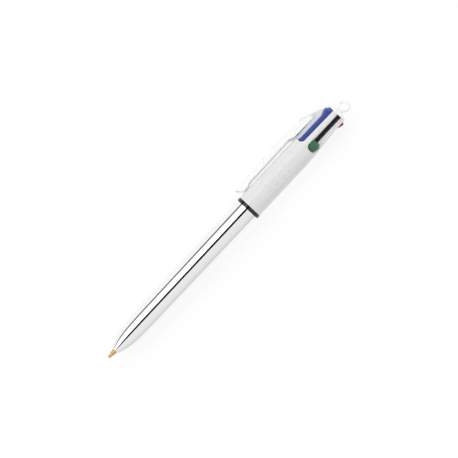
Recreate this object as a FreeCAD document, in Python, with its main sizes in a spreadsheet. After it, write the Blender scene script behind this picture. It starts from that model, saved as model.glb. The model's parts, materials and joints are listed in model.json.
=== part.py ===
"""Four-colour click pen: a slotted upper barrel with a pocket clip and four spring-loaded sliders, each
carrying a refill, and a metallised lower barrel that screws on over a collar ring.

The pen is drawn standing on its nose: z runs up its axis from the nose end of the lower barrel, x points at
the clip and lengths are millimetres. At the end every sub-part is laid down on the collar ring and the clip's
edge, with the writing point at +X. The green refill is clicked out and the other three are retracted.
"""

import FreeCAD, Part
import math
import os
from types import SimpleNamespace

import Sketcher
from FreeCAD import Placement, Rotation, Vector

# The driving dimensions: one cell of the sheet each.
SIZES = {
    # lower barrel
    "lower_length": 82.4,
    "lower_radius": 5.65,
    "waist_radius": 5.2,
    "waist_height": 21.0,
    "cheek_radius": 4.75,
    "cheek_height": 9.7,
    "nose_radius": 2.3,
    "nose_edge": 0.45,
    "nose_face": 1.78,
    "nose_bore": 1.36,
    "nose_land": 0.6,
    "lower_wall": 0.85,
    # screw thread between the barrels
    "thread_bore": 4.95,
    "thread_gap": 0.07,
    "thread_pitch": 2.0,
    "thread_turns": 2.0,
    "thread_foot": 0.9,
    "thread_flat": 0.5,
    "thread_sink": 0.1,
    "thread_relief": 1.0,
    # collar ring
    "collar_height": 1.6,
    "collar_radius": 5.84,
    "collar_round": 0.2,
    "seat_gap": 0.04,
    # upper barrel
    "upper_length": 54.1,
    "upper_radius": 5.72,
    "shoulder_radius": 4.4,
    "taper_length": 27.0,
    "upper_wall": 0.92,
    "spigot_length": 6.4,
    "spigot_radius": 4.58,
    "spigot_bore": 3.9,
    "rib_width": 2.36,
    "rib_reach": 3.0,
    "slot_length": 19.5,
    "slot_round": 2.0,
    "slot_floor": 1.4,
    # pocket clip
    "clip_reach": 10.4,
    "clip_width": 4.6,
    "clip_depth": 3.25,
    "clip_round": 0.9,
    "clip_root": 22.1,
    "clip_drop": 31.6,
    "clip_tip_reach": 9.5,
    "clip_tip_round": 1.4,
    "clip_gap": 0.3,
    "clip_neck": 14.5,
    "clip_taper": 10.0,
    "clip_web_rise": 10.5,
    "clip_bump": 0.5,
    "clip_lead": 2.2,
    "clip_peak": 3.6,
    "clip_bump_end": 6.8,
    "clip_lead_curve": 2.2,
    "clip_bump_curve": 9.0,
    # end cap and lanyard ring
    "dome_height": 1.8,
    "dome_flat": 1.85,
    "dome_inset": 0.05,
    "dome_edge": 0.3,
    "dome_skin": 0.6,
    "dome_curve": 3.6,
    "ring_neck": 0.7,
    "ring_neck_curve": 1.2,
    "ring_radius": 2.05,
    "ring_wire": 0.85,
    "ring_bore": 1.3,
    "ring_sink": 0.1,
    # core post and spring guide
    "core_radius": 1.5,
    "core_foot": 1.75,
    "core_foot_height": 1.5,
    "core_chamfer": 0.5,
    "guide_height": 2.0,
    "guide_rise": 6.6,
    # sliders
    "slider_travel": 14.5,
    "slider_radius": 4.45,
    "slider_gap": 0.14,
    "knob_height": 4.5,
    "knob_radius": 5.45,
    "knob_slope": 1.1,
    "knob_curve": 9.0,
    "knob_crown": 1.6,
    "knob_round": 0.5,
    "plate_inside": 1.72,
    "flange_radius": 1.8,
    "flange_height": 1.5,
    "stub_radius": 0.75,
    "stub_length": 3.0,
    # refills
    "refill_station": 2.65,
    "refill_crossing": 0.09,
    "tube_radius": 1.25,
    "tube_bore": 0.9,
    "point_reach": 4.3,
    "point_radius": 1.15,
    "point_length": 7.0,
    "point_cone": 3.5,
    "point_shank": 5.0,
    "point_rim": 0.58,
    "ink_channel": 0.25,
    "ball_radius": 0.5,
    "ball_play": 0.015,
    "ball_show": 0.36,
    # springs
    "spring_wire": 0.3,
    "spring_radius": 1.55,
    "spring_turns": 12.0,
    "spring_gap": 0.12,
    "guide_clearance": 0.15,
    "guide_sweep": 0.32,
}

# How far an outline that cuts runs past what it cuts, and how deep a web is rooted in its wall.
OVERCUT = 1.0
ROOTED = 0.5

# The colours, with the angle of each slider from the clip.
COLOURS = {"blue": 45.0, "green": 135.0, "red": 225.0, "black": 315.0}
CLICKED = "green"

doc = FreeCAD.newDocument("ClickPen")
sheet = doc.addObject("Spreadsheet::Sheet", "Sizes")
for row, (alias, number) in enumerate(SIZES.items(), start=1):
    sheet.set(f"A{row}", alias)
    sheet.set(f"B{row}", str(number))
    sheet.setAlias(f"B{row}", alias)


class Size:
    """A number that also knows its formula in the words of the sheet."""

    def __init__(self, number, formula=None):
        self.number = float(number)
        self.formula = formula or f"({self.number!r})"

    def join(self, sign, other, number):
        return Size(number, f"({self.formula} {sign} {other.formula})")

    def __add__(self, other):
        other = sized(other)
        return self.join("+", other, self.number + other.number)

    def __sub__(self, other):
        other = sized(other)
        return self.join("-", other, self.number - other.number)

    def __mul__(self, other):
        other = sized(other)
        return self.join("*", other, self.number * other.number)

    def __truediv__(self, other):
        other = sized(other)
        return self.join("/", other, self.number / other.number)

    def __radd__(self, other):
        return sized(other) + self

    def __rsub__(self, other):
        return sized(other) - self

    def __neg__(self):
        return Size(-self.number, f"(-{self.formula})")

    def root(self):
        return Size(math.sqrt(self.number), f"sqrt({self.formula})")

    def angle_over(self, other):
        """The angle in degrees whose tangent is this size over the other."""
        angle = math.degrees(math.atan2(self.number, other.number))
        return Size(angle, f"atan({self.formula} / {other.formula})")


def sized(thing):
    return thing if isinstance(thing, Size) else Size(thing)


def leg(hypotenuse, other_leg):
    """The third side of a right-angled triangle."""
    return (hypotenuse * hypotenuse - other_leg * other_leg).root()


d = SimpleNamespace(**{alias: Size(number, f"Sizes.{alias}") for alias, number in SIZES.items()})

# Heights and sizes that follow from the driving dimensions.
collar_top = d.lower_length + d.collar_height
shoulder = collar_top + d.upper_length
spigot_end = d.lower_length - d.spigot_length
slot_bottom = shoulder - d.slot_length
floor_bottom = slot_bottom - d.slot_floor
upper_bore = d.upper_radius - d.upper_wall
guide_top = collar_top + d.guide_rise
guide_bottom = guide_top - d.guide_height
rib_half = d.rib_width / 2
clip_split = shoulder - d.clip_root
clip_end = clip_split - d.clip_drop
clip_half = d.clip_width / 2
clip_inside = d.clip_reach - d.clip_depth
clip_rise = d.clip_reach - d.shoulder_radius
clip_curve = (clip_rise * clip_rise + d.clip_root * d.clip_root) / (clip_rise * 2)
plate_top = shoulder - d.slider_gap
plate_bottom = floor_bottom - d.slider_gap
flange_bottom = plate_bottom - d.flange_height
tube_top = flange_bottom - d.seat_gap * 2
refill_pivot = flange_bottom - d.stub_length / 2
refill_end = d.slider_travel - d.point_reach
lean_full = (d.refill_station + d.refill_crossing).angle_over(refill_pivot - d.slider_travel)
spring_seat = guide_top + d.spring_gap
spring_length = flange_bottom - d.spring_gap - spring_seat
ring_centre = shoulder + d.dome_height + d.ring_radius + d.ring_wire - d.ring_sink


def set_size(thing, name, size):
    """Binds one property of an object to a formula on the sheet."""
    thing.setExpression(name, sized(size).formula)


def origin_feature(body, role):
    return next(f for f in body.Origin.OriginFeatures if f.Role == role)


def new_sketch(body, name, plane, lift=0.0):
    """An empty sketch on one of the body's origin planes, lifted along the plane's normal."""
    sketch = body.newObject("Sketcher::SketchObject", name)
    sketch.AttachmentSupport = [(origin_feature(body, plane), "")]
    sketch.MapMode = "FlatFace"
    sketch.AttachmentOffset = Placement(Vector(0, 0, sized(lift).number), Rotation())
    set_size(sketch, "AttachmentOffset.Base.z", lift)
    return sketch


def hold(sketch, kind, geometry, end, size):
    """Holds one coordinate of a sketch point: kind is DistanceX or DistanceY."""
    if abs(size.number) < 1e-9:
        axis = -2 if kind == "DistanceX" else -1
        sketch.addConstraint(Sketcher.Constraint("PointOnObject", geometry, end, axis))
        return
    index = sketch.addConstraint(Sketcher.Constraint(kind, -1, 1, geometry, end, size.number))
    sketch.setExpression(f"Constraints[{index}]", size.formula)


def hold_radius(sketch, geometry, size):
    index = sketch.addConstraint(Sketcher.Constraint("Radius", geometry, size.number))
    sketch.setExpression(f"Constraints[{index}]", size.formula)


def tangent_arc(start, end, direction):
    """The arc from start to end that leaves start in a direction, and its direction where it ends."""
    chord = end - start
    normal = Vector(-direction.y, direction.x, 0)
    centre = start + normal * (chord.Length**2 / (2 * normal.dot(chord)))
    half_turn = Rotation(Vector(0, 0, 1), math.degrees(math.atan2(normal.dot(chord), direction.dot(chord))))
    middle = centre + half_turn.multVec(start - centre)
    return Part.Arc(start, middle, end), half_turn.multVec(half_turn.multVec(direction))


def bulging_arc(start, end, radius):
    """The shorter arc of a radius from start to end, bulging left, or right if the radius is negative."""
    chord = end - start
    sagitta = abs(radius) - math.sqrt(radius**2 - (chord.Length / 2) ** 2)
    side = Vector(-chord.y, chord.x, 0).normalize() * math.copysign(sagitta, radius)
    return Part.Arc(start, (start + end) / 2 + side, end)


def outline(sketch, path):
    """Draws a closed outline. A corner is (across, along). A third item says how the run that ends there is
    drawn: "tangent" is an arc tangent to the run before it, and a Size is the radius of a bulging arc."""
    path = [(sized(c[0]), sized(c[1]), c[2] if len(c) > 2 else "line") for c in path]
    runs = []
    direction = None
    for before, corner in zip(path, path[1:] + path[:1]):
        start = Vector(before[0].number, before[1].number, 0)
        end = Vector(corner[0].number, corner[1].number, 0)
        if corner[2] == "tangent":
            curve, direction = tangent_arc(start, end, direction)
        elif corner[2] == "line":
            curve = Part.LineSegment(start, end)
            direction = (end - start).normalize()
        else:
            curve = bulging_arc(start, end, corner[2].number)
        geometry = sketch.addGeometry(curve)
        first = 1 if (sketch.getPoint(geometry, 1) - start).Length < 1e-6 else 2
        runs.append((geometry, first, 3 - first, before, corner[2]))
    for last, (geometry, first, _, before, kind) in zip(runs[-1:] + runs[:-1], runs):
        joint = "Tangent" if kind == "tangent" else "Coincident"
        sketch.addConstraint(Sketcher.Constraint(joint, last[0], last[2], geometry, first))
        hold(sketch, "DistanceX", geometry, first, before[0])
        hold(sketch, "DistanceY", geometry, first, before[1])
        if isinstance(kind, Size):
            hold_radius(sketch, geometry, kind if kind.number > 0 else -kind)
    return sketch


def circle(sketch, across, along, radius):
    """Adds a circle to a sketch."""
    across, along, radius = sized(across), sized(along), sized(radius)
    centre = Vector(across.number, along.number, 0)
    geometry = sketch.addGeometry(Part.Circle(centre, Vector(0, 0, 1), radius.number))
    hold(sketch, "DistanceX", geometry, 3, across)
    hold(sketch, "DistanceY", geometry, 3, along)
    hold_radius(sketch, geometry, radius)
    return sketch


def turned(body, name, path):
    """Revolves an outline of (radius, height) corners about the body's z axis."""
    sketch = outline(new_sketch(body, name + "Outline", "XZ_Plane"), path)
    feature = body.newObject("PartDesign::Revolution", name)
    feature.Profile = sketch
    feature.ReferenceAxis = (sketch, ["V_Axis"])
    feature.Angle = 360
    return feature


def padded(body, name, sketch, length, midplane=False):
    feature = body.newObject("PartDesign::Pad", name)
    feature.Profile = sketch
    feature.Midplane = midplane
    feature.Refine = True
    set_size(feature, "Length", length)
    return feature


def pocketed(body, name, sketch, length):
    """Cuts from a sketch along its plane's normal."""
    feature = body.newObject("PartDesign::Pocket", name)
    feature.Profile = sketch
    feature.Reversed = True
    set_size(feature, "Length", length)
    return feature


def repeated(body, name, features, count):
    """Repeats features evenly round the body's z axis."""
    feature = body.newObject("PartDesign::PolarPattern", name)
    feature.Originals = features
    feature.Axis = (origin_feature(body, "Z_Axis"), [""])
    feature.Angle = 360
    feature.Occurrences = count
    body.Tip = feature
    return feature


def coil(body, name, sketch, pitch, turns):
    """Sweeps a section up a helix round the body's z axis."""
    feature = body.newObject("PartDesign::AdditiveHelix", name)
    feature.Profile = sketch
    feature.ReferenceAxis = (sketch, ["V_Axis"])
    feature.Mode = "pitch-turns-angle"
    set_size(feature, "Pitch", pitch)
    set_size(feature, "Turns", turns)
    return feature


def rounded(body, name, base, radius, chosen):
    """Rounds the edges of a feature for which chosen(edge) is true."""
    doc.recompute()
    feature = body.newObject("PartDesign::Fillet", name)
    edges = [f"Edge{i}" for i, edge in enumerate(base.Shape.Edges, start=1) if chosen(edge)]
    feature.Base = (base, edges)
    set_size(feature, "Radius", radius)
    body.Tip = feature
    return feature


def new_body(name):
    return doc.addObject("PartDesign::Body", name)


def thread(body, name, foot_radius, flat_radius, start):
    """A trapezoidal ridge of right-handed thread, from foot_radius to a flat at flat_radius."""
    foot, flat = d.thread_foot / 2, d.thread_flat / 2
    section = outline(
        new_sketch(body, name + "Section", "XZ_Plane"),
        [
            (foot_radius, start - foot),
            (flat_radius, start - flat),
            (flat_radius, start + flat),
            (foot_radius, start + foot),
        ],
    )
    return coil(body, name, section, d.thread_pitch, d.thread_turns)


def lower_barrel():
    """The metallised lower barrel, with a bore for the points at its nose and a thread in its mouth."""
    body = new_body("lower_barrel")
    turned(
        body,
        "Shell",
        [
            (d.thread_bore, d.lower_length),
            (d.lower_radius, d.lower_length),
            (d.waist_radius, d.waist_height),
            (d.cheek_radius, d.cheek_height, "tangent"),
            (d.nose_radius, d.nose_edge, "tangent"),
            (d.nose_face, 0, "tangent"),
            (d.nose_bore, 0),
            (d.nose_bore, d.nose_land),
            (d.cheek_radius - d.lower_wall, d.cheek_height),
            (d.waist_radius - d.lower_wall, d.waist_height),
            (d.thread_bore, spigot_end - d.thread_relief),
        ],
    )
    foot, crest = d.thread_bore + d.thread_sink, d.spigot_radius + d.thread_gap
    thread(body, "InsideThread", foot, crest, spigot_end + d.thread_foot)
    return body


def collar_ring():
    """The glossy ring that the two barrels close on."""
    body = new_body("collar_ring")
    bore = d.thread_bore
    low, high = d.lower_length + d.seat_gap, collar_top - d.seat_gap
    ring = turned(body, "Ring", [(bore, low), (d.collar_radius, low), (d.collar_radius, high), (bore, high)])
    outermost = 2 * math.pi * d.collar_radius.number
    rounded(body, "Rounding", ring, d.collar_round, lambda edge: abs(edge.Length - outermost) < 1e-6)
    return body


def boolean(kind, name, **inputs):
    """A Part boolean of other objects, such as Cut with its Base and Tool."""
    result = doc.addObject(f"Part::{kind}", name)
    for role, thing in inputs.items():
        setattr(result, role, thing)
    result.Refine = True
    return result


def upper_barrel():
    """The slotted upper barrel, with its threaded spigot, four ribs and the root of the clip."""
    slotted = boolean("Cut", "SlottedShell", Base=upper_shell(), Tool=slot_tools())
    return boolean("Fuse", "upper_barrel", Base=slotted, Tool=clip_root())


def upper_shell():
    """The upper barrel before its slots are cut, with a seat for the collar ring above its thread and with
    the passages that the sliders run down into."""
    body = new_body("UpperShell")
    seat = d.thread_bore - d.thread_gap
    turned(
        body,
        "Shell",
        [
            (d.spigot_bore, spigot_end),
            (d.spigot_radius, spigot_end),
            (d.spigot_radius, d.lower_length),
            (seat, d.lower_length),
            (seat, collar_top),
            (d.upper_radius, collar_top),
            (d.upper_radius, shoulder - d.taper_length),
            ((d.upper_radius + d.shoulder_radius) / 2, shoulder - d.taper_length / 2, "tangent"),
            (d.shoulder_radius, shoulder, "tangent"),
            (d.rib_reach, shoulder),
            (d.rib_reach, floor_bottom),
            (upper_bore, floor_bottom),
            (upper_bore, guide_bottom),
            (d.spigot_bore, guide_bottom),
        ],
    )
    thread_start = spigot_end + d.thread_foot + d.thread_pitch / 2
    thread(body, "OutsideThread", d.spigot_radius - d.thread_sink, seat, thread_start)
    reach = d.slider_radius + d.slider_gap
    passage = outline(
        new_sketch(body, "PassageSection", "XY_Plane", floor_bottom - OVERCUT),
        [
            (rib_half, rib_half),
            (leg(reach, rib_half), rib_half),
            (rib_half, leg(reach, rib_half), -reach),
        ],
    )
    passage_cut = pocketed(body, "Passage", passage, d.slot_length + d.slot_floor + OVERCUT * 2)
    repeated(body, "Passages", [passage_cut], len(COLOURS))
    return body


def slot_tools():
    """The four slots as solids: each is what two blocks that stand off neighbouring ribs have in common."""
    beyond = d.upper_radius + OVERCUT
    blocks = []
    for index in range(len(COLOURS)):
        block = new_body(f"SlotBlock{index}")
        section = outline(
            new_sketch(block, f"SlotSide{index}", "YZ_Plane"),
            [
                (rib_half, shoulder + OVERCUT),
                (rib_half, slot_bottom + d.slot_round),
                (rib_half + d.slot_round, slot_bottom, "tangent"),
                (beyond, slot_bottom),
                (beyond, shoulder + OVERCUT),
            ],
        )
        padded(block, f"SlotBlockPad{index}", section, beyond * 2, midplane=True)
        block.Placement = Placement(Vector(), Rotation(Vector(0, 0, 1), 90 * index))
        blocks.append(block)
    slots = [
        boolean("Common", f"Slot{index}", Base=block, Tool=blocks[index - 1])
        for index, block in enumerate(blocks)
    ]
    return boolean("MultiFuse", "Slots", Shapes=slots)


def clip_reach_at(height):
    """How far the outer curve of the clip's root stands from the axis, above the split with the arm."""
    return d.clip_reach - clip_curve + leg(clip_curve, height - clip_split)


def clip_root():
    """The web that carries the clip on one rib, and the top of the clip's arm, which narrows into the rib."""
    body = new_body("ClipRoot")
    wall_middle = d.upper_radius - d.upper_wall / 2
    neck = clip_split + d.clip_neck
    arm = outline(
        new_sketch(body, "ArmRootOutline", "XZ_Plane"),
        [
            (clip_inside, clip_split),
            (d.knob_radius + d.clip_gap * 2, slot_bottom),
            (d.knob_radius + d.clip_gap * 2, neck),
            (clip_reach_at(neck), neck),
            (d.clip_reach, clip_split, clip_curve),
        ],
    )
    padded(body, "ArmRoot", arm, d.clip_width, midplane=True)
    taper = new_sketch(body, "ArmTaper", "YZ_Plane", d.upper_radius)
    low = neck - d.clip_taper
    for side in (1, -1):
        start, edge, end = (size * side for size in (clip_half, clip_half + OVERCUT, rib_half))
        high = neck + OVERCUT
        outline(taper, [(start, low), (edge, low), (edge, high), (end, high), (end, neck)])
    taper_cut = pocketed(body, "ArmTaperCut", taper, d.clip_reach)

    def outer_edge(edge):
        climb = abs(edge.Vertexes[0].Z - edge.Vertexes[-1].Z)
        return edge.CenterOfMass.x > clip_inside.number + d.clip_round.number and climb > d.clip_depth.number

    rounded(body, "ArmRounding", taper_cut, d.clip_round, outer_edge)
    web = outline(
        new_sketch(body, "WebOutline", "XZ_Plane"),
        [
            (wall_middle, clip_split),
            (wall_middle, slot_bottom),
            (d.shoulder_radius - ROOTED * 2, shoulder),
            (d.shoulder_radius, shoulder),
            (clip_reach_at(neck), neck, clip_curve),
            (d.clip_reach - d.clip_round, clip_split + d.clip_web_rise),
            (d.clip_reach - d.clip_round, clip_split),
            (clip_inside, clip_split),
            (d.upper_radius - d.seat_gap / 2, clip_split, d.upper_radius - clip_inside),
        ],
    )
    padded(body, "Web", web, d.rib_width, midplane=True)
    return body


def pocket_clip():
    """The springy arm of the clip, below its root, with the bump that grips a pocket."""
    body = new_body("pocket_clip")
    drop = d.clip_drop - d.clip_tip_round
    draft = d.clip_reach - d.clip_tip_reach
    grip = d.upper_radius + d.clip_gap
    arm = outline(
        new_sketch(body, "ArmOutline", "XZ_Plane"),
        [
            (clip_inside, clip_split),
            (d.clip_reach, clip_split),
            (d.clip_tip_reach, clip_end + d.clip_tip_round, (draft * draft + drop * drop) / (draft * 2)),
            (d.clip_tip_reach - d.clip_gap * 2, clip_end, d.clip_tip_round * 1.15),
            (grip + d.clip_bump, clip_end + d.clip_lead),
            (grip, clip_end + d.clip_peak, d.clip_lead_curve),
            (grip + d.clip_bump * 2, clip_end + d.clip_bump_end, d.clip_bump_curve),
        ],
    )
    pad = padded(body, "Arm", arm, d.clip_width, midplane=True)

    def outer_edge(edge):
        widest = math.isclose(abs(edge.CenterOfMass.y), clip_half.number)
        return widest and edge.CenterOfMass.x > clip_inside.number and edge.Length > d.clip_depth.number * 2

    rounded(body, "Rounding", pad, d.clip_round, outer_edge)
    return body


def end_cap():
    """The domed cap that closes the slots, with the lanyard ring on it."""
    body = new_body("end_cap")
    socket = d.core_radius + d.seat_gap
    edge = d.shoulder_radius - d.dome_inset
    top = shoulder + d.dome_height
    turned(
        body,
        "Dome",
        [
            (0, top - d.dome_skin),
            (socket, top - d.dome_skin),
            (socket, shoulder),
            (edge, shoulder),
            (edge, shoulder + d.dome_edge),
            (d.dome_flat, top, -d.dome_curve),
            (d.ring_wire, top + d.ring_neck, d.ring_neck_curve),
            (0, top + d.ring_neck),
        ],
    )
    ring = body.newObject("PartDesign::AdditiveTorus", "Ring")
    across = Rotation(Vector(1, 0, 0), 90)
    ring.Placement = Placement(Vector(0, 0, ring_centre.number), across)
    set_size(ring, "Placement.Base.z", ring_centre)
    set_size(ring, "Radius1", d.ring_radius)
    set_size(ring, "Radius2", d.ring_wire)
    bore = body.newObject("PartDesign::SubtractiveCylinder", "RingBore")
    bore.Placement = Placement(Vector(0, d.ring_wire.number, ring_centre.number), across)
    set_size(bore, "Placement.Base.y", d.ring_wire)
    set_size(bore, "Placement.Base.z", ring_centre)
    set_size(bore, "Radius", d.ring_bore)
    set_size(bore, "Height", d.ring_wire * 2)
    return body


def core_post():
    """The dark post on the axis, hung in the end cap, with a fin that meets each rib between the sliders."""
    body = new_body("core_post")
    bottom = plate_bottom + d.slider_gap * 2
    foot_top = bottom + d.core_foot_height
    top = shoulder + d.dome_height - d.dome_skin - d.seat_gap
    turned(
        body,
        "Post",
        [
            (0, bottom),
            (d.core_radius, bottom),
            (d.core_foot, bottom + d.core_chamfer),
            (d.core_foot, foot_top),
            (d.core_radius, foot_top + d.core_chamfer),
            (d.core_radius, top),
            (0, top),
        ],
    )
    fin_reach = d.rib_reach - d.seat_gap
    fin_side = leg(fin_reach, rib_half)
    fin_height = shoulder - d.seat_gap - floor_bottom
    section = outline(
        new_sketch(body, "FinOutline", "XY_Plane", floor_bottom),
        [(0, -rib_half), (fin_side, -rib_half), (fin_side, rib_half, -fin_reach), (0, rib_half)],
    )
    repeated(body, "Fins", [padded(body, "Fin", section, fin_height)], len(COLOURS))
    return body


def spring_guide():
    """The disc in the upper barrel that the springs stand on, with a hole for each refill to swing in."""
    body = new_body("spring_guide")
    disc = circle(new_sketch(body, "DiscOutline", "XY_Plane", guide_bottom), 0, 0, upper_bore - d.seat_gap)
    padded(body, "Disc", disc, d.guide_height)
    radius = d.tube_radius + d.guide_clearance
    inner = d.refill_station - d.guide_sweep
    hole = outline(
        new_sketch(body, "HoleOutline", "XY_Plane", guide_bottom - OVERCUT),
        [
            (inner, -radius, -radius),
            (d.refill_station, -radius),
            (d.refill_station + radius, 0, -radius),
            (d.refill_station, radius, -radius),
            (inner, radius),
            (inner - radius, 0, -radius),
        ],
    )
    hole_cut = pocketed(body, "Hole", hole, d.guide_height + OVERCUT * 2)
    repeated(body, "Holes", [hole_cut], len(COLOURS))
    return body


def slider(colour):
    """A slider: the plate that fills its slot, the thumb knob, and the flange and stub that push a refill."""
    body = new_body(f"{colour}_slider")
    corner = rib_half + d.slider_gap
    knob_bottom = plate_top - d.knob_height
    turned(
        body,
        "PlateAndKnob",
        [
            (d.plate_inside, plate_bottom),
            (d.slider_radius, plate_bottom),
            (d.slider_radius, knob_bottom),
            (d.knob_radius, plate_top - d.knob_slope, -d.knob_curve),
            (d.slider_radius - d.slider_gap, plate_top, d.knob_crown),
            (d.plate_inside, plate_top),
        ],
    )
    beyond = d.knob_radius + OVERCUT
    trim = outline(
        new_sketch(body, "TrimOutline", "XY_Plane", plate_bottom - OVERCUT),
        [
            (corner, corner),
            (corner, beyond),
            (-beyond, beyond),
            (-beyond, -beyond),
            (beyond, -beyond),
            (beyond, corner),
        ],
    )
    trimmed = pocketed(body, "Trim", trim, shoulder - plate_bottom + OVERCUT * 2)

    def knob_side(edge):
        middle = edge.CenterOfMass
        rise = abs(edge.Vertexes[0].Z - edge.Vertexes[-1].Z)
        return math.hypot(middle.x, middle.y) > d.slider_radius.number and rise > d.knob_height.number / 2

    rounded(body, "KnobRounding", trimmed, d.knob_round, knob_side)
    station = d.refill_station / Size(2).root()
    flange = new_sketch(body, "FlangeOutline", "XY_Plane", flange_bottom)
    padded(body, "Flange", circle(flange, station, station, d.flange_radius), d.flange_height)
    stub = new_sketch(body, "StubOutline", "XY_Plane", flange_bottom - d.stub_length)
    padded(body, "Stub", circle(stub, station, station, d.stub_radius), d.stub_length)
    return body


def refill_tube(colour):
    """The ink tube, in the refill's own frame: its axis is z, its origin the middle of the slider's stub."""
    body = new_body(f"{colour}_refill_tube")
    bottom = refill_end + d.point_length - refill_pivot
    top = tube_top - refill_pivot
    turned(
        body,
        "Tube",
        [(d.tube_bore, bottom), (d.tube_radius, bottom), (d.tube_radius, top), (d.tube_bore, top)],
    )
    return body


def refill_point(colour):
    """The brass writing point: a cone with a socket for the ball, and a shank with an ink channel."""
    body = new_body(f"{colour}_refill_point")
    end = refill_end - refill_pivot
    ball_centre = end + d.ball_radius
    socket = d.ball_radius + d.ball_play
    lip = leg(socket, d.ball_radius - d.ball_show)
    rim = end + d.ball_show
    shank = d.tube_bore - d.seat_gap
    turned(
        body,
        "Point",
        [
            (lip, rim, socket),
            (d.point_rim, rim),
            (d.point_radius, end + d.point_cone),
            (d.point_radius, end + d.point_length),
            (shank, end + d.point_length),
            (shank, end + d.point_length + d.point_shank),
            (d.ink_channel, end + d.point_length + d.point_shank),
            (d.ink_channel, ball_centre + leg(socket, d.ink_channel)),
            (socket, ball_centre, socket),
        ],
    )
    return body


def point_ball(colour):
    """The ball that rolls in the point's socket."""
    ball = doc.addObject("Part::Sphere", f"{colour}_point_ball")
    set_size(ball, "Radius", d.ball_radius)
    return ball


def spring(colour):
    """The return spring, standing on z = 0 round its own axis: shorter where the refill is clicked out."""
    body = new_body(f"{colour}_spring")
    half_wire = d.spring_wire / 2
    section = circle(new_sketch(body, "WireSection", "XZ_Plane"), d.spring_radius, half_wire, half_wire)
    length = spring_length - d.slider_travel if colour == CLICKED else spring_length
    coil(body, "Coil", section, (length - d.spring_wire) / d.spring_turns, d.spring_turns)
    return body


def move(x=0.0, y=0.0, z=0.0):
    return Placement(Vector(*(sized(size).number for size in (x, y, z))), Rotation())


def turn(axis, angle):
    return Placement(Vector(), Rotation(Vector(*axis), sized(angle).number))


def chain(*placements):
    """One placement that applies the last given first."""
    result = Placement()
    for placement in placements:
        result = result.multiply(placement)
    return result


def lying_down():
    """The placement that lays the pen on its collar ring and the lower edge of its clip, axis level."""
    corner_x, corner_y = d.clip_reach - d.clip_round, clip_half - d.clip_round
    drop = d.collar_radius - d.clip_round
    reach = math.hypot(corner_x.number, corner_y.number)
    roll = math.asin(drop.number / reach) - math.atan2(corner_y.number, corner_x.number)
    clip_way = Vector(0, -math.cos(roll), -math.sin(roll))
    side_way = Vector(0, -math.sin(roll), math.cos(roll))
    return Placement(Vector(), Rotation(clip_way, side_way, Vector(-1, 0, 0), "ZXY"))


def build():
    """Builds every sub-part: a list of (object, placement in the standing pen's frame)."""
    fixed = (lower_barrel, collar_ring, upper_barrel, pocket_clip, end_cap, core_post)
    parts = [(make(), Placement()) for make in fixed]
    parts.append((spring_guide(), turn((0, 0, 1), 45)))
    ball_height = refill_end + d.ball_radius - refill_pivot
    for colour, angle in COLOURS.items():
        clicked = colour == CLICKED
        pushed = move(z=-d.slider_travel if clicked else 0)
        lean = turn((0, 1, 0), lean_full if clicked else 0)
        station = chain(pushed, turn((0, 0, 1), angle), move(x=d.refill_station))
        refill = chain(station, move(z=refill_pivot), lean)
        spring_base = spring_seat + d.slider_travel if clicked else spring_seat
        parts.append((slider(colour), chain(pushed, turn((0, 0, 1), angle - 45))))
        parts.append((spring(colour), chain(refill, move(z=spring_base - refill_pivot))))
        parts.append((refill_tube(colour), refill))
        parts.append((refill_point(colour), refill))
        parts.append((point_ball(colour), chain(refill, move(z=ball_height))))
    return parts


def place(parts):
    """Lays the parts down, with the middle of their bounding box's underside at the origin."""
    doc.recompute()
    lay = lying_down()
    whole = FreeCAD.BoundBox()
    for part, standing in parts:
        part.Placement = chain(lay, standing)
        whole.add(part.Shape.optimalBoundingBox(False, False))
    middle = Vector(-whole.Center.x, -whole.Center.y, -whole.ZMin)
    for part, standing in parts:
        part.Placement = chain(Placement(middle, Rotation()), lay, standing)
    doc.recompute()
    return chain(Placement(middle, Rotation()), lay)


def check(parts):
    """Stops if any object of the document failed, or if a sub-part has no valid single solid."""
    failed = [o.Name for o in doc.Objects if "Invalid" in o.State or "Error" in o.State]
    assert not failed, f"failed features: {failed}"
    for part, _ in parts:
        shape = part.Shape
        assert not shape.isNull() and shape.isValid(), f"{part.Label} has no valid shape"
        assert len(shape.Solids) == 1, f"{part.Label} has {len(shape.Solids)} solids"


def write(parts):
    os.makedirs("parts", exist_ok=True)
    for part, _ in parts:
        part.Shape.exportStep(f"parts/{part.Label}.step")


pen = build()
frame = place(pen)
check(pen)
write(pen)
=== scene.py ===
import json
import math

import bmesh
import bpy
from bpy.props import FloatProperty, FloatVectorProperty, IntProperty, PointerProperty
from mathutils import Matrix, Vector


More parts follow.
